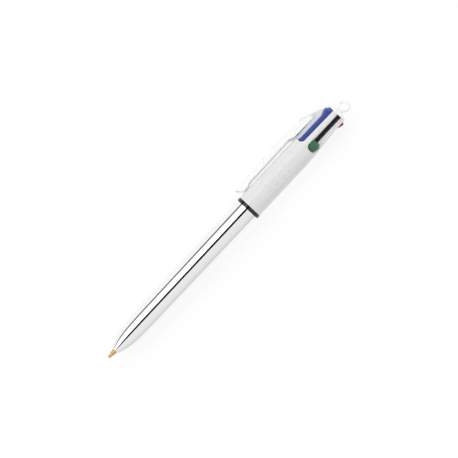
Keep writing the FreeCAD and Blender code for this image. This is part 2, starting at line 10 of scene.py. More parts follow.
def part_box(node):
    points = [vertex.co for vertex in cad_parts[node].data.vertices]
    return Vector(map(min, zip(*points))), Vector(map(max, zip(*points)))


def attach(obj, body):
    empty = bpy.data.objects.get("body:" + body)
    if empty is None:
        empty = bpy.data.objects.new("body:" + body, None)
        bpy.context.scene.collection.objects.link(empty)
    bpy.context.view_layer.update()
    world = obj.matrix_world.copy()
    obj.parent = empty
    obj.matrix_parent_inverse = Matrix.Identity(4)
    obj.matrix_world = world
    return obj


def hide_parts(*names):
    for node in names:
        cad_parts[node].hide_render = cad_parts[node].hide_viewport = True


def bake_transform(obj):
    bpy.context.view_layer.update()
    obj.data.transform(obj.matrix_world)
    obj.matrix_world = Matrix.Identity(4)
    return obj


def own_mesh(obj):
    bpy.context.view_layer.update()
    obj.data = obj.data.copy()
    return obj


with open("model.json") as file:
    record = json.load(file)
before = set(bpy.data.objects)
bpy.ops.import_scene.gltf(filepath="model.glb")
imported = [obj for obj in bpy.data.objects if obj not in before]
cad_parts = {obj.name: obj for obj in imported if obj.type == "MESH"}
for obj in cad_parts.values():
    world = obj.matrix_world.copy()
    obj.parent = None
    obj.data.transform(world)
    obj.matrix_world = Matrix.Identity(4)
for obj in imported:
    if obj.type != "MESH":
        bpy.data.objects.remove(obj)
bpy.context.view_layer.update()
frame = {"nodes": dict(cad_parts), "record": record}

bl_info = {
    "name": "Four-colour click pen",
    "version": (1, 0, 0),
    "blender": (4, 5, 0),
    "location": "View3D > Sidebar > Click Pen",
    "description": "Finishes the pieces of a four-colour click pen and sets it on a pale studio floor",
    "category": "Object",
}

JOINTS = {joint["name"]: joint for joint in frame["record"]["behaviour"]["joints"]}
MOUNTS = {mount["name"]: mount for mount in frame["record"]["mounts"]}
COLOURS = ("blue", "green", "red", "black")
MM = 0.001

TURNED_SEGMENTS = 160
POINT_SEGMENTS = 64
LONGEST_FACE = 3 * MM
SAME_PLACE = 0.0001 * MM
WIDEST_ROUNDING = 0.9
CORNER_STEPS = 8
TIP_STEPS = 12
ARM_STEPS = 70
ROOT_STEPS = 24

# The pen's own directions: towards the lanyard ring, towards the clip, and square to both.
RING_WAY = -Vector(MOUNTS["writing_point"]["axis"])
CLIP_WAY = -Vector(MOUNTS["clip_grip"]["axis"])
SIDE_WAY = RING_WAY.cross(CLIP_WAY)
NOSE = Vector(JOINTS["lower_barrel_turn"]["pos_m"])
NOSE.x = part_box("lower_barrel")[1].x


def pen_frame(origin, along):
    """A matrix whose z axis runs along a direction from an origin, with x on the clip's side."""
    z = along.normalized()
    y = z.cross(CLIP_WAY).normalized()
    matrix = Matrix((y.cross(z), y, z)).transposed().to_4x4()
    matrix.translation = origin
    return matrix


PEN = pen_frame(NOSE, RING_WAY)


def height_of(x):
    """How far up the pen's axis from its nose an x coordinate of the row is."""
    return NOSE.x - x


def span(node):
    """The lowest and highest height of a CAD node along the pen's axis."""
    low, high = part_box(node)
    return height_of(high.x), height_of(low.x)


def length(name, default, description):
    """A size that a user may change."""
    return FloatProperty(name=name, description=description, default=default, min=0.0, unit="LENGTH")


def tint(name, default, description):
    """A colour that a user may change."""
    return FloatVectorProperty(
        name=name, description=description, default=default, size=3, min=0.0, max=1.0, subtype="COLOR"
    )


def level(name, default, description):
    """A strength that a user may change."""
    return FloatProperty(
        name=name, description=description, default=default, min=0.0, max=4.0, subtype="FACTOR"
    )


def turn(name, degrees, description):
    """An angle that a user may change."""
    return FloatProperty(
        name=name, description=description, default=math.radians(degrees), subtype="ANGLE"
    )


class LowerBarrelSizes(bpy.types.PropertyGroup):
    """Radii of the metallised lower barrel."""

    mouth: length("Mouth radius", 5.65 * MM, "Outer radius where the barrel meets the collar ring")
    edge: length("Mouth edge", 0.08 * MM, "Bevel round the mouth")
    waist: length("Waist radius", 5.2 * MM, "Outer radius where the straight taper ends")
    waist_height: length("Waist height", 21.0 * MM, "Height of the waist above the nose")
    cheek: length("Cheek radius", 4.75 * MM, "Outer radius where the nose begins to close")
    cheek_height: length("Cheek height", 9.7 * MM, "Height of the cheek above the nose")
    nose: length("Nose radius", 2.3 * MM, "Outer radius just above the rounded nose edge")
    nose_edge: length("Nose edge", 0.45 * MM, "Height of the rounded nose edge")
    nose_face: length("Nose face", 1.78 * MM, "Outer radius of the flat nose face")
    nose_bore: length("Nose bore", 1.36 * MM, "Radius of the hole that the points come out of")
    nose_land: length("Nose land", 0.6 * MM, "Height of the straight hole behind the nose face")
    wall: length("Wall", 0.85 * MM, "Thickness of the barrel's wall")
    thread_bore: length("Thread bore", 4.95 * MM, "Inner radius of the threaded mouth")
    thread_depth: length("Thread depth", 8.0 * MM, "Depth of the threaded mouth")


class CollarSizes(bpy.types.PropertyGroup):
    """Sizes of the collar ring."""

    bore: length("Collar bore", 4.65 * MM, "Radius of the ring's hole")
    edge: length("Collar edge", 0.3 * MM, "Radius of the ring's rounded edges")


class ClipSizes(bpy.types.PropertyGroup):
    """Sizes of the pocket clip: its sprung arm, and the skin over its root."""

    reach: length("Reach", 10.4 * MM, "Distance of the arm's outer face from the pen's axis")
    tip_reach: length("Tip reach", 9.5 * MM, "Distance of the arm's tip from the pen's axis")
    depth: length("Depth", 3.25 * MM, "Thickness of the arm at its root")
    width: length("Width", 4.6 * MM, "Width of the arm")
    rounding: length("Rounding", 0.9 * MM, "Radius of the arm's outer edges")
    inner_rounding: length("Inner rounding", 0.18 * MM, "Radius of the arm's inner edges")
    tip_rounding: length("Tip rounding", 1.4 * MM, "Height over which the tip rounds off outwards")
    tip_thinning: length("Tip thinning", 0.6 * MM, "How far the rounded tip falls back")
    tip_thickness: length("Tip thickness", 0.35 * MM, "Thickness of the arm at its tip")
    corner_height: length("Corner height", 1.6 * MM, "Height of the tip's rounded corners")
    corner_narrowing: length("Corner narrowing", 1.0 * MM, "How far each corner narrows the tip")
    grip: length("Grip", 6.02 * MM, "Distance of the gripping bump from the pen's axis")
    lead_height: length("Lead height", 2.2 * MM, "Height of the slope that leads cloth under the bump")
    lead_rise: length("Lead rise", 0.5 * MM, "How far the slope stops short of the bump")
    bump_height: length("Bump height", 3.6 * MM, "Height of the bump above the tip")
    bump_end: length("Bump end", 6.8 * MM, "Height above the tip where the bump ends")
    bump_rise: length("Bump rise", 1.0 * MM, "How far the bump stands out from the arm")
    bend_lap: length("Bend lap", 1.0 * MM, "How far up the root the arm's bending starts")
    bend_length: length("Bend length", 14.0 * MM, "How far down the arm its bending ends")
    root_reach: length("Root curve", 43.7 * MM, "Radius of the curve that the clip's root follows")
    web_reach: length("Web reach", 6.05 * MM, "Distance of the root's inner face from the pen's axis")
    web_height: length("Web height", 2.6 * MM, "Height over which the root deepens to its web")
    neck_start: length("Neck start", 4.5 * MM, "Height above the split where the root starts to narrow")
    neck_height: length("Neck height", 14.5 * MM, "Height of the root's neck above the split")
    neck_width: length("Neck width", 2.36 * MM, "Width of the root at its neck")
    skin: length("Skin", 0.015 * MM, "How far the skin stands off the root, to cover the join")
    sink: length("Sink", 0.06 * MM, "How far the skin's end sinks into the root")


class SpringSizes(bpy.types.PropertyGroup):
    """Sizes of the return springs."""

    wire: length("Wire", 0.15 * MM, "Radius of the wire")
    radius: length("Coil radius", 1.55 * MM, "Radius of the coil's centreline")
    turns: FloatProperty(name="Turns", description="Number of turns in a spring", default=12.0, min=1.0)


class PipSizes(bpy.types.PropertyGroup):
    """Sizes of the row of raised pips that marks the barrel."""

    radius: length("Pip radius", 1.15 * MM, "Radius of a pip")
    rise: length("Pip rise", 0.36 * MM, "Height of a pip above its own middle")
    sink: length("Pip sink", 0.15 * MM, "How far a pip's middle lies under the barrel's surface")
    stretch: FloatProperty(name="Pip stretch", description="Width of a pip over its length", default=1.7)
    pitch: length("Pip pitch", 3.9 * MM, "Distance from one pip to the next")
    start: length("Row start", 11.0 * MM, "Distance of the first pip from the collar ring")
    barrel: length("Barrel radius", 5.72 * MM, "Radius of the barrel under the row")
    facing: turn("Row facing", 11.0, "Angle of the row round the barrel")
    count: IntProperty(name="Pips", description="Number of pips in the row", default=4, min=1)


class Finishes(bpy.types.PropertyGroup):
    """Colours of the moulded pieces and the plating."""

    white: tint("White plastic", (0.775, 0.775, 0.772), "Colour of the upper barrel, clip and cap")
    plating: tint("Plating", (0.93, 0.93, 0.94), "Colour of the plated lower barrel")
    blue: tint("Blue", (0.012, 0.042, 0.30), "Colour of the blue slider")
    green: tint("Green", (0.022, 0.150, 0.075), "Colour of the green slider")
    red: tint("Red", (0.42, 0.012, 0.016), "Colour of the red slider")
    # The core post takes this black as painted shade inside the slots.
    black: tint("Black", (0.012, 0.012, 0.013), "Colour of the black slider, the collar ring and the core")
    brass: tint("Brass", (0.70, 0.47, 0.18), "Colour of the writing points")
    steel: tint("Steel", (0.55, 0.56, 0.58), "Colour of the springs")


class StageSizes(bpy.types.PropertyGroup):
    """The studio: floor, light and camera."""

    view_width: length("View width", 195.3 * MM, "Width of the camera's view at the pen")
    view_shift: length("View centre", 75.2 * MM, "Distance from the point to the view's middle")
    distance: length("Camera distance", 1.6, "Distance from the camera to the pen")
    tilt: turn("Pen tilt", 46.95, "Angle of the pen in the view")
    swing: turn("View round the pen", 101.5, "Angle of the view round the pen from the clip")
    light: level("Light", 1.05, "Strength of the studio's light")
    floor: tint("Floor", (0.22, 0.22, 0.22), "Colour of the floor")
    floor_glow: level("Floor glow", 0.80, "Strength of the floor's own light")


# ---- materials -----------------------------------------------------------------------------------


def new_material(name, colour, roughness, metallic=0.0):
    """A material with its Principled shader, ready for more nodes."""
    material = bpy.data.materials.new(name)
    material.use_nodes = True
    material.diffuse_color = (*colour, 1.0)
    shader = material.node_tree.nodes["Principled BSDF"]
    shader.inputs["Base Color"].default_value = (*colour, 1.0)
    shader.inputs["Roughness"].default_value = roughness
    shader.inputs["Metallic"].default_value = metallic
    return material, shader


def add_node(material, kind, **values):
    """Adds a shader node, with values for its inputs."""
    node = material.node_tree.nodes.new(kind)
    for name, value in values.items():
        node.inputs[name].default_value = value
    return node


def noise(material, scale, detail, stretch=(1.0, 1.0, 1.0)):
    """A noise texture on object coordinates, stretched along the row's axes."""
    links = material.node_tree.links
    place = add_node(material, "ShaderNodeTexCoord")
    mapping = add_node(material, "ShaderNodeMapping", Scale=stretch)
    texture = add_node(material, "ShaderNodeTexNoise", Scale=scale, Detail=detail)
    links.new(place.outputs["Object"], mapping.inputs["Vector"])
    links.new(mapping.outputs["Vector"], texture.inputs["Vector"])
    return texture


def vary_roughness(material, shader, texture, low, high):
    """Lets a texture move the roughness between two values."""
    links = material.node_tree.links
    spread = add_node(material, "ShaderNodeMapRange")
    spread.inputs["To Min"].default_value = low
    spread.inputs["To Max"].default_value = high
    links.new(texture.outputs["Fac"], spread.inputs["Value"])
    links.new(spread.outputs["Result"], shader.inputs["Roughness"])


def vary_colour(material, shader, texture, dark, light):
    """Lets a texture move the base colour between two colours."""
    links = material.node_tree.links
    ramp = add_node(material, "ShaderNodeValToRGB")
    ramp.color_ramp.elements[0].color = (*dark, 1.0)
    ramp.color_ramp.elements[1].color = (*light, 1.0)
    links.new(texture.outputs["Fac"], ramp.inputs["Fac"])
    links.new(ramp.outputs["Color"], shader.inputs["Base Color"])


def add_bump(material, shader, texture, strength, distance):
    """Raises the surface a little by a texture."""
    links = material.node_tree.links
    bump = add_node(material, "ShaderNodeBump", Strength=strength, Distance=distance)
    links.new(texture.outputs["Fac"], bump.inputs["Height"])
    links.new(bump.outputs["Normal"], shader.inputs["Normal"])


def shade(colour, factor):
    """A colour made darker or lighter by a factor."""
    return tuple(channel * factor for channel in colour)


def moulded_plastic(name, colour, roughness=0.24, variation=0.04):
    """Glossy moulded plastic, with the faint unevenness of a polished mould."""
    material, shader = new_material(name, colour, roughness)
    cloud = noise(material, scale=160.0, detail=3.0)
    vary_colour(material, shader, cloud, shade(colour, 1 - variation), colour)
    grain = noise(material, scale=2600.0, detail=5.0)
    vary_roughness(material, shader, grain, low=roughness * 0.85, high=roughness * 1.25)
    add_bump(material, shader, grain, strength=0.05, distance=0.02 * MM)
    shader.inputs["IOR"].default_value = 1.5
    return material


def plated_silver(name, colour):
    """Bright plating, with hairlines round the barrel too fine to dull it."""
    material, shader = new_material(name, colour, roughness=0.07, metallic=1.0)
    hairline = noise(material, scale=900.0, detail=3.0, stretch=(6.0, 1.0, 1.0))
    vary_roughness(material, shader, hairline, low=0.05, high=0.10)
    cloud = noise(material, scale=40.0, detail=2.0)
    vary_colour(material, shader, cloud, shade(colour, 0.97), colour)
    return material


def turned_metal(name, colour, roughness):
    """Metal with the fine rings that a lathe or a drawing die leaves."""
    material, shader = new_material(name, colour, roughness, metallic=1.0)
    rings = noise(material, scale=700.0, detail=4.0, stretch=(12.0, 1.0, 1.0))
    vary_colour(material, shader, rings, shade(colour, 0.85), colour)
    vary_roughness(material, shader, rings, low=roughness * 0.8, high=roughness * 1.3)
    add_bump(material, shader, rings, strength=0.12, distance=0.02 * MM)
    return material


def ink_tube(name, colour):
    """A translucent tube full of ink, with a faint streak where the ink clings."""
    material, shader = new_material(name, colour, roughness=0.3)
    streaks = noise(material, scale=300.0, detail=3.0, stretch=(0.15, 1.0, 1.0))
    vary_colour(material, shader, streaks, shade(colour, 0.8), shade(colour, 1.2))
    shader.inputs["Coat Weight"].default_value = 0.6
    shader.inputs["Coat Roughness"].default_value = 0.08
    return material


# ---- meshes --------------------------------------------------------------------------------------


def tangent_run(start, end, direction, steps):
    """Points of the arc that leaves start in a direction and ends at end, and its last direction."""
    chord = end - start
    normal = Vector((-direction.y, direction.x))
    centre = start + normal * (chord.length_squared / (2 * normal.dot(chord)))
    half = math.atan2(normal.dot(chord), direction.dot(chord))
    points = []
    for step in range(1, steps + 1):
        turned = Matrix.Rotation(2 * half * step / steps, 2) @ (start - centre)
        points.append(centre + turned)
    return points, Matrix.Rotation(2 * half, 2) @ direction


def profile(corners, steps=14):
    """A profile of (radius, height) points. A corner marked True ends an arc tangent to the last run."""
    points = [Vector(corners[0][:2])]
    direction = None
    for corner in corners[1:]:
        end = Vector(corner[:2])
        if len(corner) > 2:
            run, direction = tangent_run(points[-1], end, direction, steps)
            points += run
        else:
            direction = (end - points[-1]).normalized()
            points.append(end)
    return points


def split_long(points, most):
    """Adds points along long straight runs, so that no face is much longer than most."""
    result = [points[0]]
    for before, after in zip(points, points[1:]):
        count = max(1, math.ceil((after - before).length / most))
        result += [before.lerp(after, step / count) for step in range(1, count + 1)]
    return result


def bridge(mesh, lower, upper):
    """Joins two rings of vertices by a band of faces."""
    for index in range(len(lower)):
        after = (index + 1) % len(lower)
        mesh.faces.new((lower[index], lower[after], upper[after], upper[index]))


def lathe(points, segments):
    """A mesh turned about z from a closed run of (radius, height) points."""
    mesh = bmesh.new()
    rings = []
    for radius, height in points:
        ring = []
        for index in range(segments):
            angle = 2 * math.pi * index / segments
            ring.append(mesh.verts.new((radius * math.cos(angle), radius * math.sin(angle), height)))
        rings.append(ring)
    for lower, upper in zip(rings, rings[1:] + rings[:1]):
        bridge(mesh, lower, upper)
    return mesh


def finish_piece(name, mesh, matrix, material, sharp=30.0):
    """Makes an object of a bmesh, with its place in its mesh, smooth but for its sharp edges."""
    mesh.transform(matrix)
    bmesh.ops.recalc_face_normals(mesh, faces=mesh.faces)
    data = bpy.data.meshes.new(name)
    mesh.to_mesh(data)
    mesh.free()
    return mesh_object(name, data, material, sharp)


def mesh_object(name, data, material, sharp):
    """An object of mesh data, with its material, smooth but for edges sharper than an angle in degrees."""
    data.name = name
    data.materials.clear()
    data.materials.append(material)
    data.shade_smooth()
    data.set_sharp_from_angle(angle=math.radians(sharp))
    piece = bpy.data.objects.new(name, data)
    bpy.context.scene.collection.objects.link(piece)
    return piece


def settle(piece):
    """Applies a piece's modifiers, so that it is a plain mesh."""
    bpy.context.view_layer.update()
    evaluated = piece.evaluated_get(bpy.context.evaluated_depsgraph_get())
    data = bpy.data.meshes.new_from_object(evaluated)
    piece.modifiers.clear()
    piece.data = data


def merged_copy(node, name, material, sharp):
    """A copy of a CAD node with its loose triangles merged."""
    mesh = bmesh.new()
    mesh.from_mesh(frame["nodes"][node].data)
    bmesh.ops.remove_doubles(mesh, verts=mesh.verts, dist=SAME_PLACE)
    return finish_piece(name, mesh, Matrix.Identity(4), material, sharp)


def moulded_copy(node, name, material, body, voxel, smoothing):
    """A copy of a CAD node with its edges softened as a mould leaves them."""
    piece = merged_copy(node, name, material, sharp=180.0)
    remesh = piece.modifiers.new("Skin", "REMESH")
    remesh.mode = "VOXEL"
    remesh.voxel_size = voxel
    remesh.use_smooth_shade = True
    smooth = piece.modifiers.new("Soften", "SMOOTH")
    smooth.factor = 0.5
    smooth.iterations = smoothing
    settle(piece)
    piece.data.materials.clear()
    piece.data.materials.append(material)
    piece.data.shade_smooth()
    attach(piece, body)
    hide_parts(node)
    return piece


def weigh_normals(piece):
    """Shades flat faces flat, and the roundings between them smoothly."""
    weighted = piece.modifiers.new("Weigh", "WEIGHTED_NORMAL")
    weighted.keep_sharp = True
    settle(piece)


def crisp_copy(node, name, material, body):
    """A copy of a CAD node with its edges kept, but shaded as one smooth skin."""
    piece = merged_copy(node, name, material, sharp=28.0)
    weigh_normals(piece)
    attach(piece, body)
    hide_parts(node)
    return piece


def paint(node, material):
    """Gives a CAD node its finish."""
    data = frame["nodes"][node].data
    data.materials.clear()
    data.materials.append(material)


# ---- geometry nodes ------------------------------------------------------------------------------


def new_tree(name, inputs):
    """A Geometry Nodes tree with named inputs, each with its kind of socket, and its two end nodes."""
    tree = bpy.data.node_groups.new(name, "GeometryNodeTree")
    for label, kind in inputs.items():
        tree.interface.new_socket(label, in_out="INPUT", socket_type=kind)
    tree.interface.new_socket("Geometry", in_out="OUTPUT", socket_type="NodeSocketGeometry")
    return tree, tree.nodes.new("NodeGroupInput"), tree.nodes.new("NodeGroupOutput")


def end_tree(tree, given, made, geometry):
    """Ends a tree in Realize Instances and Set Material."""
    realize = tree.nodes.new("GeometryNodeRealizeInstances")
    smooth = tree.nodes.new("GeometryNodeSetShadeSmooth")
    finish = tree.nodes.new("GeometryNodeSetMaterial")
    tree.links.new(geometry, realize.inputs["Geometry"])
    tree.links.new(realize.outputs["Geometry"], smooth.inputs["Geometry"])
    tree.links.new(smooth.outputs["Geometry"], finish.inputs["Geometry"])
    tree.links.new(given.outputs["Material"], finish.inputs["Material"])
    tree.links.new(finish.outputs["Geometry"], made.inputs["Geometry"])


def coil_tree():
    """A spring: a spiral of wire standing on z = 0."""
    tree, given, made = new_tree("Coil", {
        "Turns": "NodeSocketFloat",
        "Radius": "NodeSocketFloat",
        "Height": "NodeSocketFloat",
        "Wire": "NodeSocketFloat",
        "Material": "NodeSocketMaterial",
    })
    spiral = tree.nodes.new("GeometryNodeCurveSpiral")
    spiral.inputs["Resolution"].default_value = 28
    wire = tree.nodes.new("GeometryNodeCurvePrimitiveCircle")
    wire.inputs["Resolution"].default_value = 10
    sweep = tree.nodes.new("GeometryNodeCurveToMesh")
    sweep.inputs["Fill Caps"].default_value = True
    links = tree.links
    links.new(given.outputs["Turns"], spiral.inputs["Rotations"])
    links.new(given.outputs["Radius"], spiral.inputs["Start Radius"])
    links.new(given.outputs["Radius"], spiral.inputs["End Radius"])
    links.new(given.outputs["Height"], spiral.inputs["Height"])
    links.new(given.outputs["Wire"], wire.inputs["Radius"])
    links.new(spiral.outputs["Curve"], sweep.inputs["Curve"])
    links.new(wire.outputs["Curve"], sweep.inputs["Profile Curve"])
    end_tree(tree, given, made, sweep.outputs["Mesh"])
    return tree


def pip_tree():
    """A row of low oval domes along z, standing out along y."""
    tree, given, made = new_tree("Pips", {
        "Count": "NodeSocketInt",
        "Pitch": "NodeSocketFloat",
        "Radius": "NodeSocketFloat",
        "Rise": "NodeSocketFloat",
        "Stretch": "NodeSocketFloat",
        "Material": "NodeSocketMaterial",
    })
    row = tree.nodes.new("GeometryNodeMeshLine")
    step = tree.nodes.new("ShaderNodeCombineXYZ")
    dome = tree.nodes.new("GeometryNodeMeshUVSphere")
    dome.inputs["Segments"].default_value = 32
    dome.inputs["Rings"].default_value = 20
    squash = tree.nodes.new("ShaderNodeCombineXYZ")
    ratio = tree.nodes.new("ShaderNodeMath")
    ratio.operation = "DIVIDE"
    place = tree.nodes.new("GeometryNodeInstanceOnPoints")
    links = tree.links
    links.new(given.outputs["Count"], row.inputs["Count"])
    links.new(given.outputs["Pitch"], step.inputs["Z"])
    links.new(step.outputs["Vector"], row.inputs["Offset"])
    links.new(given.outputs["Radius"], dome.inputs["Radius"])
    links.new(given.outputs["Rise"], ratio.inputs[0])
    links.new(given.outputs["Radius"], ratio.inputs[1])
    squash.inputs["Z"].default_value = 1.0
    links.new(given.outputs["Stretch"], squash.inputs["X"])
    links.new(ratio.outputs["Value"], squash.inputs["Y"])
    links.new(row.outputs["Mesh"], place.inputs["Points"])
    links.new(dome.outputs["Mesh"], place.inputs["Instance"])
    links.new(squash.outputs["Vector"], place.inputs["Scale"])
    end_tree(tree, given, made, place.outputs["Instances"])
    return tree


def grown(name, tree, matrix, **values):
    """Runs a Geometry Nodes tree on a new object and returns its result as a plain mesh piece."""
    holder = bpy.data.objects.new(name + "_holder", bpy.data.meshes.new(name + "_holder"))
    bpy.context.scene.collection.objects.link(holder)
    modifier = holder.modifiers.new("Grow", "NODES")
    modifier.node_group = tree
    for item in tree.interface.items_tree:
        if item.in_out == "INPUT" and item.name in values:
            modifier[item.identifier] = values[item.name]
    bpy.context.view_layer.update()
    evaluated = holder.evaluated_get(bpy.context.evaluated_depsgraph_get())
    data = bpy.data.meshes.new_from_object(evaluated)
    bpy.data.objects.remove(holder)
    data.transform(matrix)
    return mesh_object(name, data, values["Material"], sharp=60.0)


# ---- the pieces ----------------------------------------------------------------------------------


class PEN_OT_lower_barrel(bpy.types.Operator):
    """Turns the plated lower barrel"""

    bl_idname = "pen.lower_barrel"
    bl_label = "Lower barrel"

    def execute(self, context):
        sizes = context.scene.pen_lower_barrel
        bottom, top = span("lower_barrel")
        corners = [
            (sizes.thread_bore, top),
            (sizes.mouth - sizes.edge, top),
            (sizes.mouth, top - sizes.edge),
            (sizes.waist, sizes.waist_height),
            (sizes.cheek, sizes.cheek_height, True),
            (sizes.nose, sizes.nose_edge, True),
            (sizes.nose_face, bottom, True),
            (sizes.nose_bore, bottom),
            (sizes.nose_bore, sizes.nose_land),
            (sizes.cheek - sizes.wall, sizes.cheek_height),
            (sizes.waist - sizes.wall, sizes.waist_height),
            (sizes.thread_bore, top - sizes.thread_depth),
        ]
        mesh = lathe(split_long(profile(corners, steps=20), LONGEST_FACE), TURNED_SEGMENTS)
        material = plated_silver("silver_plating", context.scene.pen_finishes.plating)
        piece = finish_piece("lower_barrel_shell", mesh, PEN, material, sharp=40.0)
        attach(piece, "lower_barrel")
        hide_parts("lower_barrel")
        return {"FINISHED"}


class PEN_OT_collar_ring(bpy.types.Operator):
    """Turns the glossy collar ring"""

    bl_idname = "pen.collar_ring"
    bl_label = "Collar ring"

    def execute(self, context):
        sizes = context.scene.pen_collar
        bottom, top = span("collar_ring")
        low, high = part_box("collar_ring")
        outer = (high.y - low.y) / 2
        corners = [
            (sizes.bore, bottom),
            (outer - sizes.edge, bottom),
            (outer, bottom + sizes.edge, True),
            (outer, top - sizes.edge),
            (outer - sizes.edge, top, True),
            (sizes.bore, top),
        ]
        black = shade(context.scene.pen_finishes.black, 0.4)
        material = moulded_plastic("black_ring_plastic", black, roughness=0.1)
        mesh = lathe(profile(corners, steps=8), TURNED_SEGMENTS)
        piece = finish_piece("collar", mesh, PEN, material)
        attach(piece, "collar")
        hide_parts("collar_ring")
        return {"FINISHED"}


class PEN_OT_upper_barrel(bpy.types.Operator):
    """Finishes the slotted upper barrel, and marks it with a row of raised pips"""

    bl_idname = "pen.upper_barrel"
    bl_label = "Upper barrel"

    def execute(self, context):
        pips = context.scene.pen_pips
        white = moulded_plastic("white_plastic", context.scene.pen_finishes.white)
        barrel = crisp_copy("upper_barrel", "slotted_barrel", white, "upper_barrel")
        collar_top = span("collar_ring")[1]
        facing = Matrix.Rotation(pips.facing, 4, "Z")
        place = PEN @ facing @ Matrix.Translation((0, pips.barrel - pips.sink, collar_top + pips.start))
        piece = grown(
            "barrel_pips", pip_tree(), place, Count=pips.count, Pitch=pips.pitch, Radius=pips.radius,
            Rise=pips.rise, Stretch=pips.stretch, Material=white,
        )
        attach(piece, "upper_barrel")
        return {"FINISHED"}


class PEN_OT_clip(bpy.types.Operator):
    """Lofts the pocket clip's sprung arm and the skin over its root"""

    bl_idname = "pen.clip"
    bl_label = "Pocket clip"

    def execute(self, context):
        sizes = context.scene.pen_clip
        bottom, split = span("pocket_clip")
        mesh = clip_arm(sizes, bottom, split)
        material = bpy.data.materials["white_plastic"]
        piece = finish_piece("clip_arm", mesh, PEN, material, sharp=50.0)
        weigh_normals(piece)
        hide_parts("pocket_clip")
        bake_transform(piece)
        return {"FINISHED"}


def clip_section(sizes, outer, inner, half_width):
    """The clip's section as (reach, side) points: round outer corners and small inner ones."""
    small = min(sizes.inner_rounding, (outer - inner) / 3)
    large = max(min(sizes.rounding, (outer - inner) / 2, half_width * WIDEST_ROUNDING), small)
    points = []
    for centre_x, centre_y, radius, start in (
        (outer - large, half_width - large, large, 0.0),
        (inner + small, half_width - small, small, math.pi / 2),
        (inner + small, -half_width + small, small, math.pi),
        (outer - large, -half_width + large, large, 3 * math.pi / 2),
    ):
        for step in range(CORNER_STEPS + 1):
            angle = start + math.pi / 2 * step / CORNER_STEPS
            points.append((centre_x + radius * math.cos(angle), centre_y + radius * math.sin(angle)))
    return points


def clip_arm(sizes, bottom, split):
    """The clip as a loft of sections: its tip, its arm, and the skin over its root."""
    tip_top = bottom + sizes.tip_rounding
    sections = []
    for step in range(TIP_STEPS + 1):
        height = bottom + sizes.tip_rounding * (1 - math.cos(math.pi / 2 * step / TIP_STEPS))
        sections.append((height, arm_section(sizes, height, bottom, split)))
    for step in range(1, ARM_STEPS + 1):
        height = tip_top + (split - tip_top) * step / ARM_STEPS
        sections.append((height, arm_section(sizes, height, bottom, split)))
    for step in range(1, ROOT_STEPS + 1):
        above = sizes.neck_height * step / ROOT_STEPS
        skin = sizes.skin if step < ROOT_STEPS else -sizes.sink
        sections.append((split + above, root_section(sizes, above, skin)))
    mesh = bmesh.new()
    rings = [[mesh.verts.new((x, y, height)) for x, y in section] for height, section in sections]
    for lower, upper in zip(rings, rings[1:]):
        bridge(mesh, lower, upper)
    mesh.faces.new(rings[0])
    mesh.faces.new(rings[-1])
    return mesh


def fall_back(share):
    """How much of a rounding's depth is missing, from all of it at its foot to none at its top."""
    return 1 - math.sqrt(1 - (1 - min(share, 1)) ** 2)


def arm_section(sizes, height, bottom, split):
    """The arm's section at a height between its tip and its split from the root."""
    above = height - bottom
    drop = split - bottom - sizes.tip_rounding
    draft = sizes.reach - sizes.tip_reach
    curve = (draft**2 + drop**2) / (draft * 2)
    outer = sizes.reach - curve + math.sqrt(curve**2 - (split - height) ** 2)
    outer -= sizes.tip_thinning * fall_back(above / sizes.tip_rounding)
    inner = arm_inner(sizes, above, outer, split - bottom)
    half_width = sizes.width / 2 - sizes.corner_narrowing * fall_back(above / sizes.corner_height)
    return clip_section(sizes, outer, inner, half_width)


def arm_inner(sizes, above, outer, arm_length):
    """How far the arm's inner face stands from the pen's axis: a slope, the bump, then a straight run."""
    lead, peak, end = sizes.lead_height, sizes.bump_height, sizes.bump_end
    if above < lead:
        start = outer - sizes.tip_thickness
        return start + (sizes.grip + sizes.lead_rise - start) * above / lead
    if above < peak:
        quarter = math.pi / 2 * (above - lead) / (peak - lead)
        return sizes.grip + sizes.lead_rise * (1 - math.sin(quarter))
    if above < end:
        quarter = math.pi / 2 * (above - peak) / (end - peak)
        return sizes.grip + sizes.bump_rise * (1 - math.cos(quarter))
    foot = sizes.grip + sizes.bump_rise
    straight = sizes.reach - sizes.depth
    return foot + (straight - foot) * (above - end) / (arm_length - end)


def root_section(sizes, above, skin):
    """The section of the skin at a height above the split, standing off the root by its thickness."""
    outer = sizes.reach - sizes.root_reach + math.sqrt(sizes.root_reach**2 - above**2) + skin
    straight = sizes.reach - sizes.depth
    inner = straight + (sizes.web_reach - straight) * min(above / sizes.web_height, 1)
    share = max(above - sizes.neck_start, 0) / (sizes.neck_height - sizes.neck_start)
    width = sizes.width + (sizes.neck_width - sizes.width) * share
    return clip_section(sizes, outer, inner, width / 2 + skin)


class PEN_OT_end_cap(bpy.types.Operator):
    """Softens the end cap and its lanyard ring into one moulding"""

    bl_idname = "pen.end_cap"
    bl_label = "End cap and ring"

    def execute(self, context):
        white = bpy.data.materials["white_plastic"]
        piece = moulded_copy("end_cap", "cap_and_ring", white, "upper_barrel", voxel=0.08 * MM, smoothing=6)
        return {"FINISHED"}


class PEN_OT_sliders(bpy.types.Operator):
    """Finishes the four thumb sliders"""

    bl_idname = "pen.sliders"
    bl_label = "Sliders"

    def execute(self, context):
        finishes = context.scene.pen_finishes
        for colour in COLOURS:
            node = f"{colour}_slider"
            hue = getattr(finishes, colour)
            material = moulded_plastic(f"{colour}_plastic", hue, roughness=0.26, variation=0.08)
            piece = moulded_copy(
                node, f"{colour}_thumb_slider", material, node, voxel=0.12 * MM, smoothing=4
            )
        return {"FINISHED"}


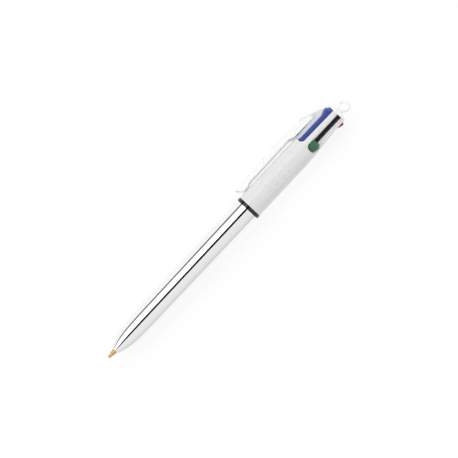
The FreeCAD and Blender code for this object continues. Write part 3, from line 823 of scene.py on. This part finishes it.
class PEN_OT_refills(bpy.types.Operator):
    """Finishes the refills: ink tubes, turned points and balls"""

    bl_idname = "pen.refills"
    bl_label = "Refills"

    def execute(self, context):
        finishes = context.scene.pen_finishes
        brass = turned_metal("point_brass", finishes.brass, roughness=0.11)
        ball = turned_metal("ball_carbide", shade(finishes.steel, 0.8), roughness=0.12)
        for colour in COLOURS:
            paint(f"{colour}_refill_tube", ink_tube(f"{colour}_tube", getattr(finishes, colour)))
            paint(f"{colour}_point_ball", ball)
            place = pen_frame(*refill_line(colour))
            piece = finish_piece(f"{colour}_brass_point", writing_point(), place, brass, sharp=35.0)
            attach(piece, f"{colour}_refill")
            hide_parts(f"{colour}_refill_point")
        return {"FINISHED"}


def refill_line(colour):
    """The ball's centre and the way up a refill from it."""
    ball = Vector(JOINTS[f"{colour}_ball_roll"]["pos_m"])
    pivot = Vector(JOINTS[f"{colour}_refill_lean"]["pos_m"])
    return ball, (pivot - ball).normalized()


# The brass point's outline in mm, as (radius, height above the ball's centre): rim, cone, stepped barrel
# with a groove, shank, and the ink channel down to the ball's socket.
POINT_OUTLINE = (
    (0.4956, -0.14), (0.56, -0.14), (0.60, 0.0), (1.11, 2.85), (1.15, 3.05), (1.15, 4.3), (1.06, 4.4),
    (1.06, 4.7), (1.15, 4.8), (1.15, 6.5), (0.86, 6.5), (0.86, 11.5), (0.25, 11.5), (0.25, 0.45),
)
SOCKET_RADIUS = 0.515 * MM
SOCKET_TOP = math.radians(61)
SOCKET_SWEEP = math.radians(76.8)
SOCKET_STEPS = 8


def writing_point():
    """The brass point about its ball's centre, with the round socket that holds the ball."""
    corners = [(radius * MM, height * MM) for radius, height in POINT_OUTLINE]
    for step in range(1, SOCKET_STEPS):
        angle = SOCKET_TOP - SOCKET_SWEEP * step / SOCKET_STEPS
        corners.append((SOCKET_RADIUS * math.cos(angle), SOCKET_RADIUS * math.sin(angle)))
    return lathe(split_long(profile(corners), most=1 * MM), POINT_SEGMENTS)


class PEN_OT_springs(bpy.types.Operator):
    """Winds the four return springs"""

    bl_idname = "pen.springs"
    bl_label = "Springs"

    def execute(self, context):
        sizes = context.scene.pen_springs
        steel = turned_metal("spring_steel", context.scene.pen_finishes.steel, roughness=0.28)
        tree = coil_tree()
        for colour in COLOURS:
            wind_spring(colour, sizes, steel, tree)
        return {"FINISHED"}


def wind_spring(colour, sizes, steel, tree):
    """One spring round its refill, from the guide up to the slider's flange."""
    ball, way = refill_line(colour)
    low, high = span(f"{colour}_spring")
    rise = way.dot(RING_WAY)
    seat = ball + way * ((low - height_of(ball.x) + sizes.wire) / rise)
    place = pen_frame(seat, way)
    height = (high - low) / rise - 2 * sizes.wire
    piece = grown(
        f"{colour}_coil_spring", tree, place, Turns=sizes.turns, Radius=sizes.radius, Height=height,
        Wire=sizes.wire, Material=steel,
    )
    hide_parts(f"{colour}_spring")
    joint = JOINTS[f"{colour}_slide"]
    if joint["range_m"][0] < 0:
        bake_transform(piece)
        return
    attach(piece, "upper_barrel")
    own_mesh(piece)


class PEN_OT_inner_parts(bpy.types.Operator):
    """Finishes the core post, coloured black as painted shade inside the slots, and the spring guide"""

    bl_idname = "pen.inner_parts"
    bl_label = "Inner parts"

    def execute(self, context):
        finishes = context.scene.pen_finishes
        dark, pale = finishes.black, shade(finishes.white, 0.8)
        # The core post gets the black plastic as painted shade, so that the insides of the slots look dark.
        paint("core_post", moulded_plastic("dark_inner_plastic", dark, roughness=0.5, variation=0.1))
        paint("spring_guide", moulded_plastic("guide_plastic", pale, roughness=0.5, variation=0.1))
        return {"FINISHED"}


# ---- the stage -----------------------------------------------------------------------------------


class PEN_OT_stage(bpy.types.Operator):
    """Sets the floor, the studio's light and the camera"""

    bl_idname = "pen.stage"
    bl_label = "Stage"

    def execute(self, context):
        sizes = context.scene.pen_stage
        set_floor(sizes)
        set_light(context.scene, sizes)
        set_camera(context.scene, sizes)
        context.scene.view_settings.view_transform = "Standard"
        return {"FINISHED"}


FLOOR_HALF = 3.0
FLOOR_DROP = 0.2 * MM


def set_floor(sizes):
    """A pale floor that glows a little, so that only a faint shadow shows on it."""
    mesh = bmesh.new()
    bmesh.ops.create_grid(mesh, x_segments=1, y_segments=1, size=FLOOR_HALF)
    material, shader = new_material("floor", sizes.floor, roughness=0.9)
    shader.inputs["Specular IOR Level"].default_value = 0.0
    shader.inputs["Emission Color"].default_value = (1.0, 1.0, 1.0, 1.0)
    shader.inputs["Emission Strength"].default_value = sizes.floor_glow
    floor = finish_piece("floor", mesh, Matrix.Translation((0, 0, -FLOOR_DROP)), material)


# The studio round the pen's axis, from the clip's side over the top: (degrees from straight up, brightness).
STUDIO = (
    (-90, 0.04), (-82, 0.10), (-70, 1.0), (-58, 1.9), (-34, 1.95), (-28.0, 1.5), (-26.5, 0.0),
    (-9.5, 0.0), (-8.0, 0.88), (0, 0.85), (40, 0.82), (60, 0.76), (90, 0.60),
)


def set_light(scene, sizes):
    """A soft white studio, brighter on the clip's side, with a narrow dark gap overhead."""
    world = bpy.data.worlds.new("Studio")
    world.use_nodes = True
    scene.world = world
    nodes, links = world.node_tree.nodes, world.node_tree.links
    place = nodes.new("ShaderNodeTexCoord")
    split = nodes.new("ShaderNodeSeparateXYZ")
    angle = nodes.new("ShaderNodeMath")
    angle.operation = "ARCTAN2"
    share = nodes.new("ShaderNodeMapRange")
    share.inputs["From Min"].default_value = -math.pi
    share.inputs["From Max"].default_value = math.pi
    ramp = nodes.new("ShaderNodeValToRGB")
    elements = ramp.color_ramp.elements
    while len(elements) > 1:
        elements.remove(elements[-1])
    for index, (degrees, brightness) in enumerate(STUDIO):
        position = (degrees + 180) / 360
        element = elements[0] if index == 0 else elements.new(position)
        element.position = position
        element.color = (brightness, brightness, brightness, 1.0)
    links.new(place.outputs["Generated"], split.inputs["Vector"])
    links.new(split.outputs["Y"], angle.inputs[0])
    links.new(split.outputs["Z"], angle.inputs[1])
    links.new(angle.outputs["Value"], share.inputs["Value"])
    links.new(share.outputs["Result"], ramp.inputs["Fac"])
    links.new(ramp.outputs["Color"], nodes["Background"].inputs["Color"])
    nodes["Background"].inputs["Strength"].default_value = sizes.light


FAR_END = 20.0


def set_camera(scene, sizes):
    """A long lens square to the pen, which runs from lower left to upper right."""
    towards = CLIP_WAY * math.cos(sizes.swing) + SIDE_WAY * math.sin(sizes.swing)
    across = towards.cross(RING_WAY)
    right = RING_WAY * math.cos(sizes.tilt) - across * math.sin(sizes.tilt)
    up = RING_WAY * math.sin(sizes.tilt) + across * math.cos(sizes.tilt)
    point = Vector(MOUNTS["writing_point"]["pos_m"])
    axis_point = NOSE + RING_WAY * (height_of(point.x) + sizes.view_shift)
    matrix = Matrix((right, up, towards)).transposed().to_4x4()
    matrix.translation = axis_point + towards * sizes.distance
    data = bpy.data.cameras.new("Camera")
    data.lens = sizes.distance * data.sensor_width / sizes.view_width
    data.clip_end = FAR_END
    camera = bpy.data.objects.new("Camera", data)
    camera.matrix_world = matrix
    scene.collection.objects.link(camera)
    scene.camera = camera


GROUPS = {
    "pen_lower_barrel": LowerBarrelSizes,
    "pen_collar": CollarSizes,
    "pen_clip": ClipSizes,
    "pen_springs": SpringSizes,
    "pen_pips": PipSizes,
    "pen_finishes": Finishes,
    "pen_stage": StageSizes,
}
OPERATORS = (
    PEN_OT_lower_barrel,
    PEN_OT_collar_ring,
    PEN_OT_upper_barrel,
    PEN_OT_clip,
    PEN_OT_end_cap,
    PEN_OT_sliders,
    PEN_OT_refills,
    PEN_OT_springs,
    PEN_OT_inner_parts,
    PEN_OT_stage,
)


class PEN_PT_panel(bpy.types.Panel):
    """Lists the pen's pieces and their sizes"""

    bl_label = "Click Pen"
    bl_idname = "PEN_PT_panel"
    bl_space_type = "VIEW_3D"
    bl_region_type = "UI"
    bl_category = "Click Pen"

    def draw(self, context):
        for operator in OPERATORS:
            self.layout.operator(operator.bl_idname)
        for name, group in GROUPS.items():
            box = self.layout.box()
            box.label(text=group.__doc__)
            for field in group.__annotations__:
                box.prop(getattr(context.scene, name), field)


CLASSES = (*GROUPS.values(), *OPERATORS, PEN_PT_panel)


def register():
    for item in CLASSES:
        bpy.utils.register_class(item)
    for name, group in GROUPS.items():
        setattr(bpy.types.Scene, name, PointerProperty(type=group))


def unregister():
    for name in GROUPS:
        delattr(bpy.types.Scene, name)
    for item in reversed(CLASSES):
        bpy.utils.unregister_class(item)


def main():
    register()
    for operator in OPERATORS:
        group, name = operator.bl_idname.split(".")
        getattr(getattr(bpy.ops, group), name)()


if __name__ == "__main__":
    main()
